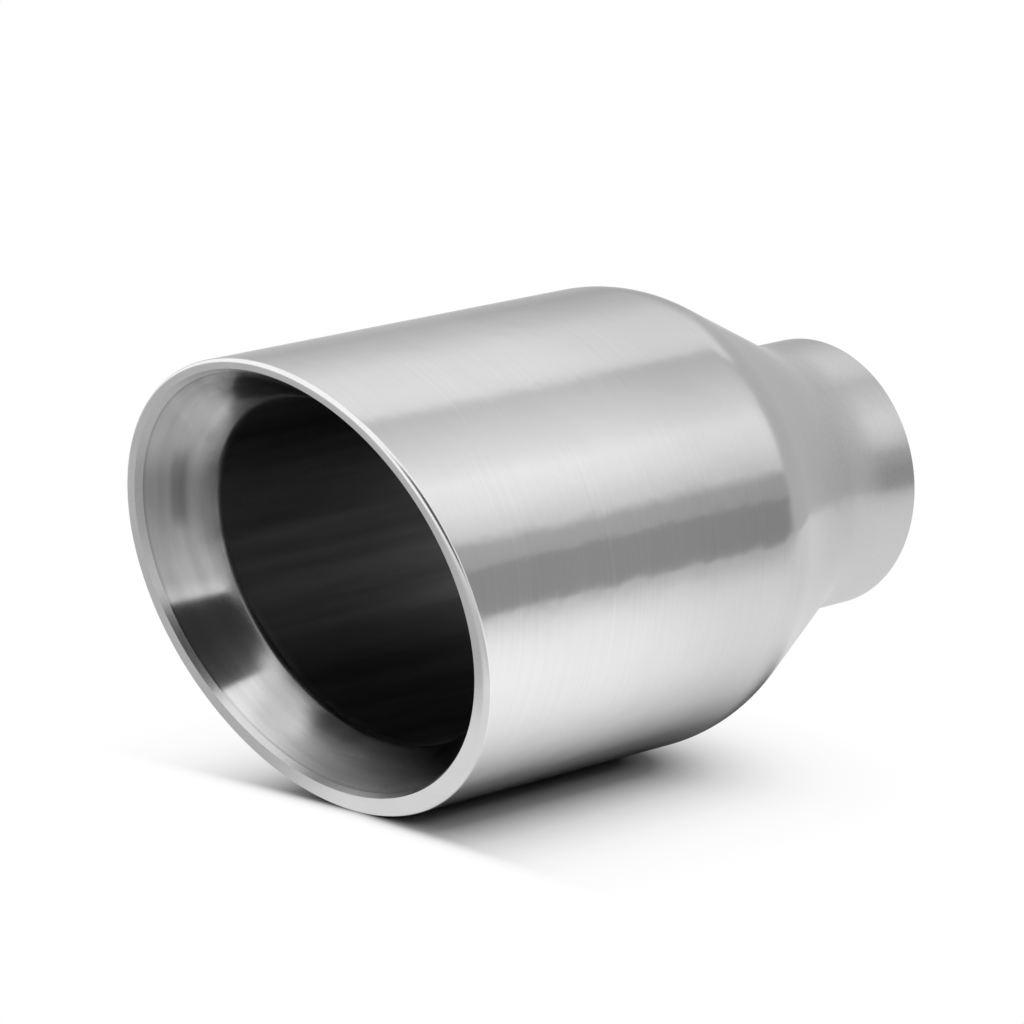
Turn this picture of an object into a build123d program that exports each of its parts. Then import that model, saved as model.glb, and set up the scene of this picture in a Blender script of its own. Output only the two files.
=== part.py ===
from build123d import *

import os
from math import cos, radians, sin, tan

# A slash-cut, double-wall exhaust tip in two pieces of stainless sheet. Sizes are in millimetres
# and degrees. The tip's axis lies along X: the inlet's end is at the origin, the outlet faces -X,
# and the long side of the slash cut is up, towards +Z.

# Outer shell
barrel_od = 101.6
barrel_length = 109.0
shell_wall = 1.5
shoulder_radius = 28.0
cone_angle = 25.5
throat_radius = 40.0
inlet_bore = 57.3
inlet_length = 9.0

# Slash cut and its rolled lip
slash_angle = 17.0
lip_roll_radius = 1.3
lip_thickness = 1.5

# Inner liner
sleeve_bore = 77.8
liner_wall = 1.2
liner_rise = 1.0
bell_angle = 28.5
bell_turn_radius = 4.0

# Clearances, and how far a cutting solid runs past what it cuts
flare_clearance = 0.2
slip_gap = 0.3
overrun = 5.0

# Flats that stand for the two small bends that follow the slant
roll_flats = 3
turn_flats = 3

# Radii of the outer shell's skin
barrel_radius = barrel_od / 2
neck_radius = inlet_bore / 2 + shell_wall

# Length along the axis of the cone between shoulder and throat, then where each stretch starts
bend_drop = (shoulder_radius + throat_radius) * (1 - cos(radians(cone_angle)))
cone_run = (barrel_radius - neck_radius - bend_drop) / tan(radians(cone_angle))
throat_end = -inlet_length
throat_start = throat_end - throat_radius * sin(radians(cone_angle))
shoulder_start = throat_start - cone_run - shoulder_radius * sin(radians(cone_angle))

# The slash plane crosses the axis here, and faces out of the outlet and down
slash_slope = tan(radians(slash_angle))
slash_crossing = shoulder_start - barrel_length + slash_slope * barrel_radius
slash_normal = (-cos(radians(slash_angle)), 0, -sin(radians(slash_angle)))

# The liner's flare is as wide as the barrel lets it be where it meets the back of the lip
sleeve_radius = sleeve_bore / 2
bell_slope = tan(radians(bell_angle))
lip_depth = lip_thickness / cos(radians(slash_angle))
flare_radius = barrel_radius - shell_wall - flare_clearance - liner_rise
mouth_radius = flare_radius - liner_wall / cos(radians(bell_angle)) + lip_depth * bell_slope
bell_turn_drop = bell_turn_radius * (1 - cos(radians(bell_angle)))
bell_cone_run = (mouth_radius - sleeve_radius - bell_turn_drop) / bell_slope
bell_depth = bell_cone_run + bell_turn_radius * sin(radians(bell_angle))

# The sleeve ends where its upper edge would run into the cone, less the slip gap
cone_wall_start = shoulder_start + (shoulder_radius - shell_wall) * sin(radians(cone_angle))
cone_wall_radius = (
    barrel_radius - shell_wall
    - (shoulder_radius - shell_wall) * (1 - cos(radians(cone_angle)))
)
sleeve_reach = sleeve_radius + liner_wall + liner_rise
sleeve_end = (
    cone_wall_start
    + (cone_wall_radius - sleeve_reach) / tan(radians(cone_angle))
    - slip_gap / sin(radians(cone_angle))
)


def slant_plane(depth, rise=0):
    """The plane parallel to the slash cut and depth behind it, measured along the axis."""
    centre = (slash_crossing + depth - slash_slope * rise, 0, rise)
    return Plane(origin=centre, x_dir=(0, 1, 0), z_dir=slash_normal)


def slant_section(depth, radius, rise=0):
    """A slanted section through a round tube of that radius, raised above the axis by rise."""
    return slant_plane(depth, rise) * Ellipse(radius, radius / cos(radians(slash_angle)))


def behind(solid, plane):
    """The part of a solid on the inlet's side of a slanted plane."""
    return split(solid, bisect_by=plane, keep=Keep.BOTTOM)


def shell_solid(inset, front, rear):
    """Solid of revolution that fills the outer shell's skin, moved inwards by inset."""
    barrel = barrel_radius - inset
    neck = neck_radius - inset
    shoulder = CenterArc(
        (shoulder_start, barrel_radius - shoulder_radius), shoulder_radius - inset, 90, -cone_angle
    )
    throat = CenterArc(
        (throat_end, neck_radius + throat_radius), throat_radius + inset, 270 - cone_angle, cone_angle
    )
    outline = [
        Polyline((rear, neck), (rear, 0), (front, 0), (front, barrel), shoulder @ 0),
        shoulder,
        Line(shoulder @ 1, throat @ 0),
        throat,
        Line(throat @ 1, (rear, neck)),
    ]
    return revolve(make_face(outline), Axis.X)


def rolled_edge():
    """The front of the shell, filled: its edge turns in from the barrel to the flat lip."""
    sections = []
    for step in range(roll_flats + 1):
        turned = radians(90 * step / roll_flats)
        depth = lip_roll_radius * (1 - sin(turned))
        radius = barrel_radius - lip_roll_radius * (1 - cos(turned))
        sections.append(slant_section(depth, radius))
    return loft(sections, ruled=True)


def liner_solid(inset, front, rear):
    """Solid that fills the liner's bore, moved inwards by inset: a slanted bell, then a sleeve."""
    sections = []
    for step in range(turn_flats + 1):
        turned = radians(bell_angle * step / turn_flats)
        depth = bell_depth - (bell_turn_radius + inset) * sin(turned)
        radius = sleeve_radius + bell_turn_radius - (bell_turn_radius + inset) * cos(turned)
        sections.append(slant_section(depth, radius, liner_rise))
    sections.append(slant_section(front, radius + (depth - front) * bell_slope, liner_rise))
    end = Plane(origin=(rear, 0, liner_rise), x_dir=(0, 1, 0), z_dir=(-1, 0, 0))
    sleeve = extrude(end * Circle(sleeve_radius - inset), rear - slash_crossing)
    return loft(sections, ruled=True) + behind(sleeve, slant_plane(bell_depth))


def make_outer_shell():
    """The barrel, cone and neck, with a lip that is rolled in round the slash cut."""
    front = slash_crossing - barrel_radius
    tube = behind(shell_solid(0, front, 0), slant_plane(lip_roll_radius))
    hollow = behind(shell_solid(shell_wall, front, overrun), slant_plane(lip_depth))
    return tube + rolled_edge() - hollow - liner_solid(0, -overrun, shoulder_start)


def make_inner_liner():
    """The bell mouth and sleeve, from the back of the lip to the slip gap at the cone."""
    wall = liner_solid(-liner_wall, 0, sleeve_end) - liner_solid(0, -overrun, sleeve_end + overrun)
    return behind(wall, slant_plane(lip_depth))


os.makedirs("parts", exist_ok=True)
export_step(make_outer_shell(), "parts/outer_shell.step")
export_step(make_inner_liner(), "parts/inner_liner.step")
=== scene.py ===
import math

import bpy
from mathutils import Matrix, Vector


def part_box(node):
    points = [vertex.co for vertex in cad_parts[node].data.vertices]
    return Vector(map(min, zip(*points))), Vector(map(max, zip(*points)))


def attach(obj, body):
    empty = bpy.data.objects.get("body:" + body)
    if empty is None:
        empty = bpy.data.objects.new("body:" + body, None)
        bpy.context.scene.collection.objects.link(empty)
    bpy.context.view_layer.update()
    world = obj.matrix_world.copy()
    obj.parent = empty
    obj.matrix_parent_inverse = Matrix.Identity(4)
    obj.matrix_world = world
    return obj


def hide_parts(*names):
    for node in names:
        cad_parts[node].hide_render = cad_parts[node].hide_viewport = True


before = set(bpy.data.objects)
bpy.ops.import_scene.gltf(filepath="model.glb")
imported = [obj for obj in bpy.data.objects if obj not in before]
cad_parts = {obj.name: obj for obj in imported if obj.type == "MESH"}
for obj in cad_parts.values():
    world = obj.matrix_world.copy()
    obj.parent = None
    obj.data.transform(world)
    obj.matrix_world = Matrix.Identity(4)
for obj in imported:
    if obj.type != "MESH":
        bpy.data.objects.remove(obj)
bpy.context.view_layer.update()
shell_low, shell_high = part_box("outer_shell")
liner_low, liner_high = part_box("inner_liner")

# The photographer's camera: a long lens a metre and a half away, a little above the tip and in
# front of its outlet, on the side from which the slanted mouth is seen whole.
camera_azimuth = math.radians(-46.62)
camera_elevation = math.radians(12.5)
camera_distance = 1.4197
camera_target = Vector((-0.10115, -0.00307, 0.00747))
camera_lens = 234.14

camera_back = Vector((
    math.sin(camera_azimuth) * math.cos(camera_elevation),
    -math.cos(camera_azimuth) * math.cos(camera_elevation),
    math.sin(camera_elevation),
))
camera = bpy.data.objects.new("camera", bpy.data.cameras.new("camera"))
camera.location = camera_target + camera_back * camera_distance
camera.rotation_euler = (-camera_back).to_track_quat("-Z", "Y").to_euler()
camera.data.lens = camera_lens
camera.data.sensor_width = 36
camera.data.clip_start = 0.01
camera.data.clip_end = 100
bpy.context.scene.collection.objects.link(camera)
bpy.context.scene.camera = camera
bpy.context.scene.view_settings.view_transform = "Standard"

# The light table that the tip lies on: matt white acrylic. It glows as white as the room, but for
# a patch along the tip: a painted shadow, where the glow fades to darker matt board that also
# takes the tip's own shadow. In the steel the table has painted shade of its own.
board_half_width = 6.0
board_white = 1.0
board_mirrored = 1.04
board_bounce = 0.8
board_matt = 0.4
board_matt_mirrored = 0.28
# Where the painted shadow patch ends before and behind the tip, and how sharply. Its front
# edge slants on the near side, and its rear edge lies farther back in the steel than it does
# to the eye.
shadow_front = -0.1422
shadow_front_slant = 0.15
shadow_front_sharpness = 10.0
shadow_rear = -0.082
shadow_rear_shift = 0.05
shadow_rear_sharpness = 1.4
# How far from the line that the tip rests on, in metres, and how much of the glow comes through
glow_stops = [
    (0.014, 0.0), (0.022, 0.06), (0.030, 0.30), (0.038, 0.55), (0.046, 0.72), (0.054, 0.85),
    (0.062, 0.92), (0.070, 0.96), (0.085, 1.0),
]
# The barrel's underside shows the painted shadow's edge harder than the eye sees it
under_contrast = 0.15
under_middle = 0.04
# In the steel the table is darker in front of the mouth, painted shade for the ceiling's light
# that the mouth keeps from it: first by how far it is from the foot of the mouth, then by how
# far towards the near side
front_edge = (0.136, 0.147)
mouth_foot = -0.146
front_reach = 0.40
front_stops = [
    (0.0, 0.20), (0.02, 0.24), (0.04, 0.36), (0.08, 0.46), (0.15, 0.54), (0.25, 0.95), (0.35, 1.3),
]
near_reach = 0.60
near_stops = [(0.08, 1.0), (0.15, 0.87), (0.30, 0.58), (0.50, 0.48)]
# On the far side and close below the lip, where the flat of the lip shows it, its painted shade
# has levels of its own. Short rays tell the part that is close below the lip.
lip_side_level = 0.42
lip_side_edge = (0.004, 0.030)
lip_foot_level = 0.68
lip_foot_rays = (0.045, 0.075)
# Painted shade in the steel: a little darker towards the rear, and far out on the near side
rear_level = 0.75
rear_edge = (-0.120, 0.100)
far_level = 0.80
far_edge = (0.10, 0.24)


class Wire:
    """A socket that gives a value; arithmetic on it adds Math nodes to the same tree."""

    def __init__(self, tree, socket=None):
        self.tree = tree
        self.socket = socket

    def node(self, kind, settings=None, inputs=None, output=0):
        """Adds a node: its settings first, then a value or a wire for each socket named."""
        made = self.tree.nodes.new(kind)
        for name, value in (settings or {}).items():
            if name == "stops":
                self.set_stops(made.color_ramp, value)
            else:
                setattr(made, name, value)
        for name, value in (inputs or {}).items():
            if isinstance(value, Wire):
                self.tree.links.new(value.socket, made.inputs[name])
            else:
                made.inputs[name].default_value = value
        return Wire(self.tree, made.outputs[output] if made.outputs else None)

    def set_stops(self, ramp, stops):
        """Gives a colour ramp grey stops: a place from 0 to 1 and a brightness each."""
        while len(ramp.elements) < len(stops):
            ramp.elements.new(1)
        for element, (place, grey) in zip(ramp.elements, stops):
            element.position = place
            element.color = (grey, grey, grey, 1)

    def ramp(self, reach, stops):
        """Levels by this value: each stop is a place from 0 to reach and a level."""
        shares = [(place / reach, level) for place, level in stops]
        return self.node("ShaderNodeValToRGB", {"stops": shares}, {0: self / reach})

    def rise(self, first, last):
        """0 up to the first value and 1 from the last, smooth between."""
        limits = {"Value": self, "From Min": first, "From Max": last}
        return self.node("ShaderNodeMapRange", {"interpolation_type": "SMOOTHSTEP"}, limits)

    def towards(self, other, share):
        """This value where the share is 0, and the other where it is 1."""
        return self + (other - self) * share

    def math(self, operation, *values):
        """A Math node of that operation on the values."""
        settings = {"operation": operation}
        return self.node("ShaderNodeMath", settings, dict(enumerate(values)))

    def at_least(self, other):
        return self.math("MAXIMUM", self, other)

    def root(self):
        return self.math("SQRT", self)

    def __add__(self, other):
        return self.math("ADD", self, other)

    def __radd__(self, other):
        return self.math("ADD", other, self)

    def __sub__(self, other):
        return self.math("SUBTRACT", self, other)

    def __rsub__(self, other):
        return self.math("SUBTRACT", other, self)

    def __mul__(self, other):
        return self.math("MULTIPLY", self, other)

    def __rmul__(self, other):
        return self.math("MULTIPLY", other, self)

    def __truediv__(self, other):
        return self.math("DIVIDE", self, other)

    def __gt__(self, other):
        return self.math("GREATER_THAN", self, other)

    def __lt__(self, other):
        return self.math("LESS_THAN", self, other)


def new_material(name):
    """An empty material, and a wire to add nodes to it with."""
    material = bpy.data.materials.new(name)
    material.use_nodes = True
    material.node_tree.nodes.clear()
    return material, Wire(material.node_tree)


def finish_with(wire, shader):
    """Makes a shader the material's surface."""
    wire.node("ShaderNodeOutputMaterial", inputs={"Surface": shader})


def coordinates(wire):
    """The place on a piece in metres, whole and then along each axis."""
    place = wire.node("ShaderNodeTexCoord", output="Object")
    axes = wire.node("ShaderNodeSeparateXYZ", inputs={"Vector": place}).socket.node.outputs
    return place, *(Wire(wire.tree, axes[axis]) for axis in "XYZ")


def sight(wire):
    """Two masks: 1 where the camera sees a thing straight, and 1 where it sees it in the steel."""
    rays = "ShaderNodeLightPath"
    direct = wire.node(rays, output="Is Camera Ray")
    mirrored = wire.node(rays, output="Is Glossy Ray")
    mirrored = mirrored.at_least(wire.node(rays, output="Is Transmission Ray"))
    return direct, mirrored * (wire.node(rays, output="Diffuse Depth") < 0.5)


def stage_piece(name, vertices, faces, material):
    """A thing of the studio: a plain mesh of one material."""
    mesh = bpy.data.meshes.new(name)
    mesh.from_pydata(vertices, [], faces)
    mesh.materials.append(material)
    thing = bpy.data.objects.new(name, mesh)
    bpy.context.scene.collection.objects.link(thing)
    return thing


board_material, wire = new_material("light_table_painted_shade")
_, along, aside, _ = coordinates(wire)
direct, mirrored = sight(wire)

# The painted shadow patch: the glow fades out towards the line that the tip rests on
near_aside = 0 - (0 - aside).at_least(0.0)
before = (shadow_front + shadow_front_slant * near_aside - along) * shadow_front_sharpness
after = (along - shadow_rear - shadow_rear_shift * mirrored) * shadow_rear_sharpness
beyond = before.at_least(after).at_least(0.0)
away = (beyond * beyond + aside * aside).root()
away = away + mirrored * under_contrast * (away - under_middle)
glow = away.ramp(glow_stops[-1][0], glow_stops)

# Painted shade of the table, seen only in the steel
foot = along - mouth_foot
foot = (foot * foot + aside * aside).root()
front_level = foot.ramp(front_reach, front_stops) * (0 - aside).ramp(near_reach, near_stops)
ray_length = wire.node("ShaderNodeLightPath", output="Ray Length")
front_level = front_level.towards(lip_foot_level, 1 - ray_length.rise(*lip_foot_rays))
front_level = front_level.towards(lip_side_level, aside.rise(*lip_side_edge))

in_front = mirrored * (0 - along).rise(*front_edge)
behind = mirrored * along.rise(*rear_edge)
farther = mirrored * (0 - aside).rise(*far_edge) * (1 - in_front)
level = 1 - in_front * (1 - front_level) - behind * (1 - rear_level) - farther * (1 - far_level)
level = level * (
    board_bounce
    + (board_white - board_bounce) * direct
    + (board_mirrored - board_bounce) * mirrored
)
# The matt board is darker in the steel: painted shade
matt_level = board_matt + (board_matt_mirrored - board_matt) * mirrored
matt = wire.node("ShaderNodeBsdfDiffuse", inputs={"Color": matt_level})
lit = wire.node("ShaderNodeEmission", inputs={"Color": level})
glow = glow.at_least(in_front)
finish_with(wire, wire.node("ShaderNodeMixShader", inputs={0: glow, 1: matt, 2: lit}))
stage_piece(
    "board",
    [
        (x * board_half_width, y * board_half_width, shell_low.z)
        for x, y in ((-1, -1), (1, -1), (1, 1), (-1, 1))
    ],
    [(0, 1, 2, 3)],
    board_material,
)

# The studio round the table: a white room whose light comes from its whole ceiling, so that the
# tip's shadow is soft, and darkest along the line that the tip rests on.
ceiling_level = 1.36
ceiling_edge = 0.30
ceiling_full = 0.75

world = bpy.data.worlds.new("white_room")
world.use_nodes = True
world.node_tree.nodes.clear()
wire = Wire(world.node_tree)
place = wire.node("ShaderNodeTexCoord", output="Generated")
height = wire.node("ShaderNodeSeparateXYZ", inputs={"Vector": place}, output="Z")
ceiling = height.rise(ceiling_edge, ceiling_full) * ceiling_level
direct, mirrored = sight(wire)
seen = direct.at_least(mirrored)
room = wire.node("ShaderNodeBackground", inputs={"Color": ceiling.towards(1, seen)})
wire.node("ShaderNodeOutputWorld", inputs={"Surface": room})
bpy.context.scene.world = world

# A light tent of white cloth on hoops stands over the tip, along its axis, from the mouth back.
# Only the steel sees it: darker cloth at the near side's foot, lighter and darker panels above.
tent_radius = 0.26
tent_start = -0.10
tent_end = 0.32
tent_end_level = 0.56
tent_end_margin = 0.001
tent_steps = 180
# Each panel's middle, in degrees round from the near side, and how bright it is
tent_panels = [
    (-13, 0.66), (-10, 0.34), (-7, 0.30), (9, 0.31), (11, 0.42), (19, 0.45), (24, 0.74),
    (36, 0.93), (47, 1.00), (56, 0.86), (72, 0.70), (84, 0.58), (88, 0.86), (98, 0.88),
    (117, 0.82), (132, 0.64), (153, 0.47), (172, 0.56), (183, 0.95), (191, 1.1),
]


def only_in_reflections(thing):
    """The camera and the table don't see it, and it casts no shadow."""
    thing.visible_camera = False
    thing.visible_diffuse = False
    thing.visible_transmission = False
    thing.visible_volume_scatter = False
    thing.visible_shadow = False


tent_foot = math.asin(shell_low.z / tent_radius)
tent_sweep = math.pi - 2 * tent_foot
tent_vertices = []
for step in range(tent_steps + 1):
    angle = tent_foot + tent_sweep * step / tent_steps
    for x in (tent_start, tent_end):
        tent_vertices.append((x, -tent_radius * math.cos(angle), tent_radius * math.sin(angle)))
tent_faces = [
    (2 * step, 2 * step + 1, 2 * step + 3, 2 * step + 2) for step in range(tent_steps)
]
tent_faces.append(tuple(2 * step + 1 for step in range(tent_steps + 1)))

tent_material, wire = new_material("tent_cloth")
_, along, aside, height = coordinates(wire)
around = height.math("ARCTAN2", height, 0 - aside) * (180 / math.pi)
around = around + 360 * (around < -90)
first, last = math.degrees(tent_foot), math.degrees(tent_foot + tent_sweep)
cloth = (around - first).ramp(last - first, [(angle - first, tone) for angle, tone in tent_panels])
cloth = cloth.towards(tent_end_level, along > tent_end - tent_end_margin)
_, mirrored = sight(wire)
finish_with(wire, wire.node("ShaderNodeEmission", inputs={"Color": cloth * mirrored}))
only_in_reflections(stage_piece("light_tent", tent_vertices, tent_faces, tent_material))

# A dark cloth stands on the table's near side, in front of the mouth, upright along the tip's
# axis and far higher than the tip. It shows in the polished bell, and lightens towards its ends.
cloth_near = -0.50
cloth_front = -0.95
cloth_end = -0.15
cloth_dark_front = -0.82
cloth_dark_end = -0.24
cloth_top = 0.47
cloth_level = 0.03
cloth_top_gain = 0.04
cloth_gain_start = 0.10
cloth_end_level = 0.90

cloth_material, wire = new_material("dark_cloth")
_, along, _, height = coordinates(wire)
_, mirrored = sight(wire)
dark = along.rise(cloth_front, cloth_dark_front) * (1 - along.rise(cloth_dark_end, cloth_end))
cloth = cloth_level + cloth_top_gain * height.rise(cloth_gain_start, cloth_top)
cloth = cloth_end_level + (cloth - cloth_end_level) * dark
finish_with(wire, wire.node("ShaderNodeEmission", inputs={"Color": cloth * mirrored}))
only_in_reflections(stage_piece(
    "dark_side",
    [(x, cloth_near, z) for x in (cloth_end, cloth_front) for z in (shell_low.z, cloth_top)],
    [(0, 1, 3, 2)],
    cloth_material,
))

# The outer shell: one stainless tube, spun down from the barrel over a round shoulder and a cone
# to the neck, brushed round its axis. Its slanted end is rolled in to a flat, buffed lip.
barrel_radius = (shell_high.y - shell_low.y) / 2
shell_wall = 0.0015
slash_angle = math.radians(17)
slash_slope = math.tan(slash_angle)
slash_crossing = -0.161149
lip_roll = 0.0013
lip_depth = shell_wall / math.cos(slash_angle)
shoulder_radius = 0.028
throat_radius = 0.040
cone_angle = math.radians(25.5)
inlet_bore = 0.0573
neck_radius = inlet_bore / 2 + shell_wall
neck_length = 0.009
liner_rise = 0.001
bell_angle = math.radians(28.5)
mouth_radius = 0.047586
# Corners round the tip, steps in each bend, and rings between the bends
sides = 256
bend_steps = 12
roll_steps = 10
lip_rings = 2
barrel_rings = 40
cone_rings = 12
neck_rings = 3
hollow_rings = 20
sharp_turn = math.radians(40)
# Where along the tip painted shade darkens the skin towards the shoulder, and where the skin
# turns satin towards the neck
painted_shade_stretch = (-0.125, -0.075)
painted_shade_share = 0.13
satin_stretch = (-0.062, -0.030)
satin_gain = 0.14
# The grain: spots to the metre, how much they change the tone and the roughness, how high the
# hoops stand beside the waves, and how deep it all is in metres
broad_scale = 45.0
wavy_scale = 90.0
tone_change = 0.10
shine_change = 0.06
hoop_height = 0.5
grain_depth = 0.00001

bend_drop = (shoulder_radius + throat_radius) * (1 - math.cos(cone_angle))
cone_run = (barrel_radius - neck_radius - bend_drop) / math.tan(cone_angle)
throat_start = -neck_length - throat_radius * math.sin(cone_angle)
shoulder_start = throat_start - cone_run - shoulder_radius * math.sin(cone_angle)


def slanted(depth, radius, rise=0.0):
    """A ring parallel to the slash cut: its place along the axis, its radius, slant and rise."""
    return slash_crossing + depth, radius, 1.0, rise


def straight(x, radius, rise=0.0):
    """A ring square to the axis."""
    return x, radius, 0.0, rise


def between(first, last, count):
    """Evenly spaced rings from one ring to another, without the two ends."""
    return [
        tuple(a + (b - a) * step / (count + 1) for a, b in zip(first, last))
        for step in range(1, count + 1)
    ]


def turned_mesh(name, rings):
    """A closed round mesh about its own Z, smooth but for its sharp turns."""
    vertices = []
    for x, radius, slant, rise in rings:
        for side in range(sides):
            angle = 2 * math.pi * side / sides
            up = radius * math.cos(angle) + rise
            vertices.append((-up, radius * math.sin(angle), x - slant * slash_slope * up))
    faces = []
    for row in range(len(rings)):
        for side in range(sides):
            here = row * sides
            following = (row + 1) % len(rings) * sides
            after = (side + 1) % sides
            faces.append((here + side, here + after, following + after, following + side))
    mesh = bpy.data.meshes.new(name)
    mesh.from_pydata(vertices, [], faces)
    mesh.validate()
    mesh.shade_smooth()
    mesh.set_sharp_from_angle(angle=sharp_turn)
    return mesh


def steel_piece(name, mesh):
    """A piece of the tip laid along X, shaded so that its flats stay flat beside its bends."""
    piece = bpy.data.objects.new(name, mesh)
    piece.rotation_euler.y = math.pi / 2
    bpy.context.scene.collection.objects.link(piece)
    weighted = piece.modifiers.new("weighted", "WEIGHTED_NORMAL")
    weighted.keep_sharp = True
    return piece


def shell_skin(inset):
    """The rings of the shell's skin from the shoulder to the inlet's end, moved in by inset."""
    rings = []
    for step in range(bend_steps + 1):
        turn = cone_angle * step / bend_steps
        rings.append(straight(
            shoulder_start + (shoulder_radius - inset) * math.sin(turn),
            barrel_radius - shoulder_radius + (shoulder_radius - inset) * math.cos(turn),
        ))
    throat = []
    for step in range(bend_steps + 1):
        turn = cone_angle * (1 - step / bend_steps)
        throat.append(straight(
            -neck_length - (throat_radius + inset) * math.sin(turn),
            neck_radius + throat_radius - (throat_radius + inset) * math.cos(turn),
        ))
    return rings + between(rings[-1], throat[0], cone_rings) + throat


skin = shell_skin(0)
inside = shell_skin(shell_wall)
roll = []
for step in range(roll_steps + 1):
    turn = math.pi / 2 * step / roll_steps
    roll.append(slanted(
        lip_roll * (1 - math.cos(turn)), barrel_radius - lip_roll * (1 - math.sin(turn))
    ))
mouth = slanted(0, mouth_radius, liner_rise)
mouth_back = slanted(lip_depth, mouth_radius - lip_depth * math.tan(bell_angle), liner_rise)
lip_back = slanted(lip_depth, barrel_radius - shell_wall)
neck_end = straight(0, neck_radius)
bore_end = straight(0, neck_radius - shell_wall)

shell_rings = [mouth] + between(mouth, roll[0], lip_rings) + roll
flat_rings = len(shell_rings)
shell_rings += between(roll[-1], skin[0], barrel_rings) + skin
shell_rings += between(skin[-1], neck_end, neck_rings) + [neck_end]
outside_rings = len(shell_rings)
shell_rings += [bore_end] + between(bore_end, inside[-1], neck_rings) + inside[::-1]
shell_rings += between(inside[0], lip_back, hollow_rings) + [lip_back, mouth_back]
shell_mesh = turned_mesh("tip_shell", shell_rings)
shell = steel_piece("tip_shell", shell_mesh)


def tip_coordinates(wire):
    """The place on a piece of the tip, whole and then along the tip, across it and up."""
    place, down, aside, along = coordinates(wire)
    return place, along, aside, 0 - down


def noise(wire, place, scale, detail):
    """Soft random spots from 0 to 1, that many to the metre and with that much finer detail."""
    return wire.node(
        "ShaderNodeTexNoise", inputs={"Vector": place, "Scale": scale, "Detail": detail}
    )


def stretched(wire, place, scale):
    """A place scaled by its own amount along each axis, so that the noise there is drawn out."""
    return wire.node("ShaderNodeMapping", inputs={"Vector": place, "Scale": scale})


def relief(wire, height):
    """The surface's normal over grain of that height."""
    inputs = {"Strength": 1.0, "Distance": grain_depth, "Height": height}
    return wire.node("ShaderNodeBump", inputs=inputs, output="Normal")


def brushed_steel(name, level, roughness, anisotropy, waves, around, back):
    """Stainless steel brushed round the axis: fine hoops in its height, shine and tone, with
    painted shade towards the shoulder.
    """
    material, wire = new_material(name)
    place, along, _, _ = tip_coordinates(wire)
    fine = noise(wire, stretched(wire, place, (around, around, back)), 1.0, 3.0)
    broad = noise(wire, place, broad_scale, 4.0)
    wavy = noise(wire, place, wavy_scale, 2.0)
    # Painted shade: the tone darkens towards the shoulder
    darker = painted_shade_share * along.rise(*painted_shade_stretch)
    grain = 1 - tone_change + tone_change * fine + tone_change * broad
    satin = satin_gain * along.rise(*satin_stretch)
    steel = wire.node(
        "ShaderNodeBsdfPrincipled",
        inputs={
            "Base Color": level * grain * (1 - darker),
            "Metallic": 1.0,
            "Roughness": (
                roughness + satin + shine_change * (broad - 0.5) + shine_change * (fine - 0.5)
            ),
            "Anisotropic": anisotropy,
            "Anisotropic Rotation": 0.25,
            "Normal": relief(wire, hoop_height * fine + waves * wavy),
        },
    )
    finish_with(wire, steel)
    return material


skin_material = brushed_steel(
    "brushed_skin", level=0.80, roughness=0.14, anisotropy=0.80, waves=13.0, around=30, back=3500
)
lip_material = brushed_steel(
    "buffed_lip", level=0.90, roughness=0.26, anisotropy=0.0, waves=4.0, around=120, back=900
)
inside_material = brushed_steel(
    "mill_inside", level=0.45, roughness=0.45, anisotropy=0.0, waves=1.0, around=200, back=600
)
for material in (skin_material, lip_material, inside_material):
    shell_mesh.materials.append(material)
# The lip is buffed, with all but the last flat of its roll and its edge inside the mouth
for face in shell_mesh.polygons:
    row = face.index // sides
    if row < flat_rings - 2 or row == len(shell_rings) - 1:
        face.material_index = 1
    elif row >= outside_rings - 1:
        face.material_index = 2
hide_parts("outer_shell")
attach(shell, "root")

# The inner liner: a second stainless tube. Its polished bell starts flush behind the lip, where
# the joint is ground away, and narrows to a dull sleeve that runs back inside the barrel.
liner_wall = 0.0012
bell_turn = 0.004
sleeve_bore = 0.0778
sleeve_radius = sleeve_bore / 2
turn_steps = 8
bell_rings = 16
sleeve_rings = 30
# How deep behind the slash cut the polish fades out, and how far its edge moves back towards the
# foot and wanders. Low in the bell it is hazy.
polish_fade = (0.0115, 0.0175)
polish_foot = (0.0, 0.030)
polish_foot_shift = 0.0020
polish_wander = 0.006
hazy_foot = (0.035, 0.042)
# Roughness: the sleeve's, what the polish takes from it, what the haze adds, and how it wanders
sleeve_roughness = 0.40
polish_shine = 0.28
hazy_gain = 0.17
shine_wander = 0.08
# The ground joint is a soft darker line, and a painted reflection of the tip's shadow on the
# table stands upright half-way down the bell on the far side
joint_fade = (lip_depth + 0.0001, lip_depth + 0.0008)
joint_share = 0.22
shadow_reflection_front = (0.0060, 0.0075)
shadow_reflection_back = (0.0088, 0.0105)
shadow_reflection_foot = (0.004, 0.010)
shadow_reflection_top = (0.020, 0.027)
shadow_reflection_share = 0.32
# Marks of the polishing wheel run round the bell, so they are ten times finer along it
bell_level = 0.78
mark_deep = 300
mark_round = 30
mark_floor = 0.72
mark_share = 0.5
mark_height = 0.8
wander_scale = 60.0
wander_height = 3.0
# Streaks run along the sleeve, painted reflections of the bands along its bore, and painted
# shade darkens it above and below
sleeve_level = 0.27
streak_scale = (130, 130, 9)
streak_floor = 0.1
streak_share = 1.8
shade_above = (0.005, 0.030)
shade_above_share = 0.65
shade_below = (0.017, 0.027)
shade_below_share = 0.50

bell_turn_drop = bell_turn * (1 - math.cos(bell_angle))
bell_run = (mouth_radius - sleeve_radius - bell_turn_drop) / math.tan(bell_angle)
bell_depth = bell_run + bell_turn * math.sin(bell_angle)


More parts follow.
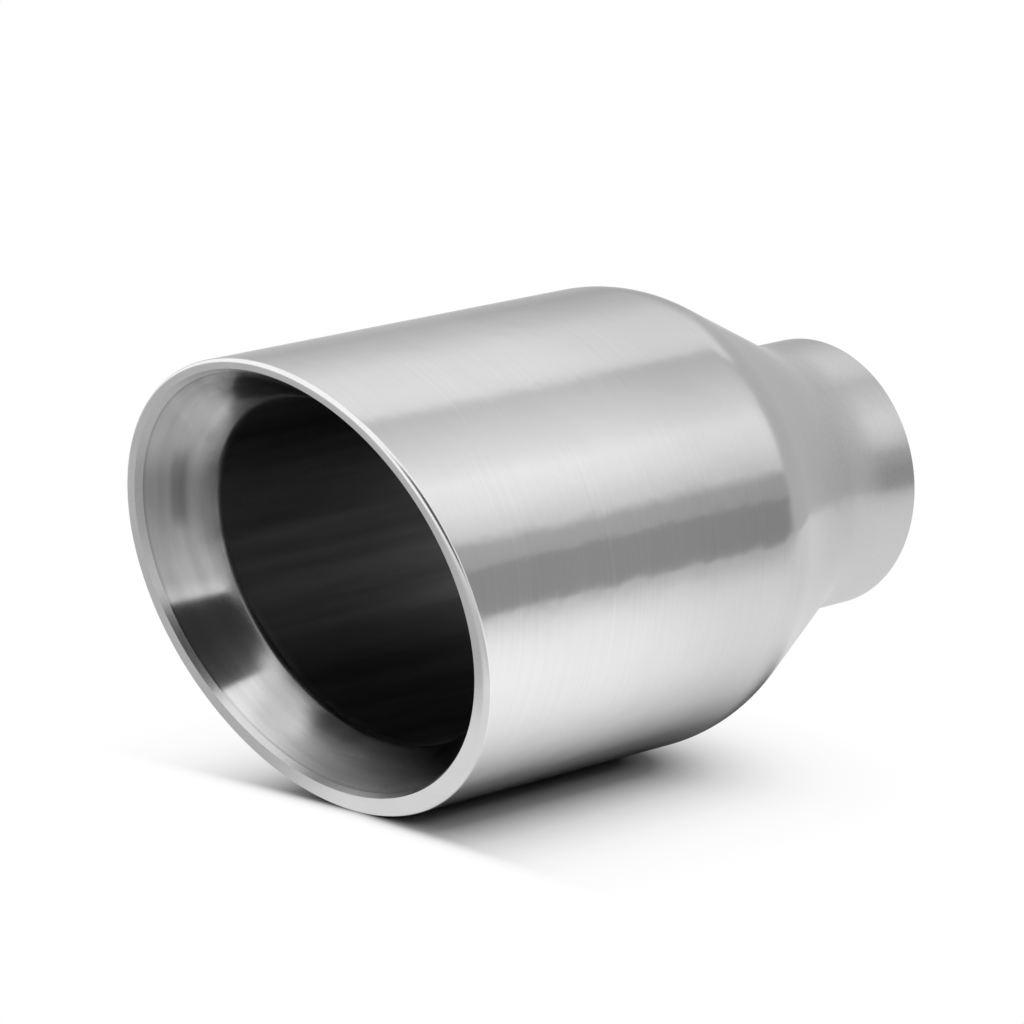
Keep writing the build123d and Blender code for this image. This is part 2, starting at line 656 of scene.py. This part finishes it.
def liner_face(inset):
    """The rings of the liner's bore from the back of the lip to the sleeve's end."""
    turn_rings = []
    for step in range(turn_steps + 1):
        turn = bell_angle * (1 - step / turn_steps)
        turn_rings.append(slanted(
            bell_depth - (bell_turn + inset) * math.sin(turn),
            sleeve_radius + bell_turn - (bell_turn + inset) * math.cos(turn),
            liner_rise,
        ))
    front_run = turn_rings[0][0] - slash_crossing - lip_depth
    front = slanted(lip_depth, turn_rings[0][1] + front_run * math.tan(bell_angle), liner_rise)
    end = straight(liner_high.x, sleeve_radius - inset, liner_rise)
    bell = [front] + between(front, turn_rings[0], bell_rings) + turn_rings
    return bell + between(turn_rings[-1], end, sleeve_rings) + [end]


bore = liner_face(0)
back = liner_face(-liner_wall)
liner_mesh = turned_mesh("tip_liner", bore + back[::-1])
liner = steel_piece("tip_liner", liner_mesh)

bore_material, wire = new_material("bell_and_sleeve")
place, along, aside, height = tip_coordinates(wire)
depth = along + height * slash_slope - slash_crossing
wander = noise(wire, place, wander_scale, 3.0)
marks = wire.node(
    "ShaderNodeCombineXYZ",
    inputs={"X": depth * mark_deep, "Y": aside * mark_round, "Z": height * mark_round},
)
marks = noise(wire, marks, 1.0, 4.0)
# Streaks along the sleeve: painted reflections of the bands along its bore
streaks = noise(wire, stretched(wire, place, streak_scale), 1.0, 3.0)

polish_edge = depth - polish_foot_shift * (0 - height).rise(*polish_foot)
polish_edge = polish_edge + polish_wander * (wander - 0.5)
polished = 1 - polish_edge.rise(*polish_fade)
hazy = polished * (0 - height).rise(*hazy_foot)
joint = joint_share * (1 - depth.rise(*joint_fade))
# A painted reflection of the tip's shadow on the table, upright on the bell's far side
shadow_reflection = depth.rise(*shadow_reflection_front) * (1 - depth.rise(*shadow_reflection_back)) * (aside > 0.0)
shadow_reflection = shadow_reflection * height.rise(*shadow_reflection_foot) * (1 - height.rise(*shadow_reflection_top))
bell_tone = bell_level * (mark_floor + mark_share * marks)
bell_tone = bell_tone * (1 - joint) * (1 - shadow_reflection_share * shadow_reflection)
# Painted shade darkens the sleeve above and below
sleeve_shade = shade_above_share * height.rise(*shade_above)
sleeve_shade = 1 - sleeve_shade - shade_below_share * (0 - height).rise(*shade_below)
sleeve_tone = sleeve_level * sleeve_shade * (streak_floor + streak_share * streaks)
shine = sleeve_roughness - polish_shine * polished + hazy_gain * hazy
steel = wire.node(
    "ShaderNodeBsdfPrincipled",
    inputs={
        "Base Color": sleeve_tone.towards(bell_tone, polished),
        "Metallic": 1.0,
        "Roughness": shine + shine_wander * (wander - 0.5),
        "Normal": relief(wire, mark_height * marks + wander_height * wander),
    },
)
finish_with(wire, steel)
liner_mesh.materials.append(bore_material)
liner_mesh.materials.append(inside_material)
for face in liner_mesh.polygons:
    if face.index // sides >= len(bore) - 1:
        face.material_index = 1
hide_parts("inner_liner")
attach(liner, "root")
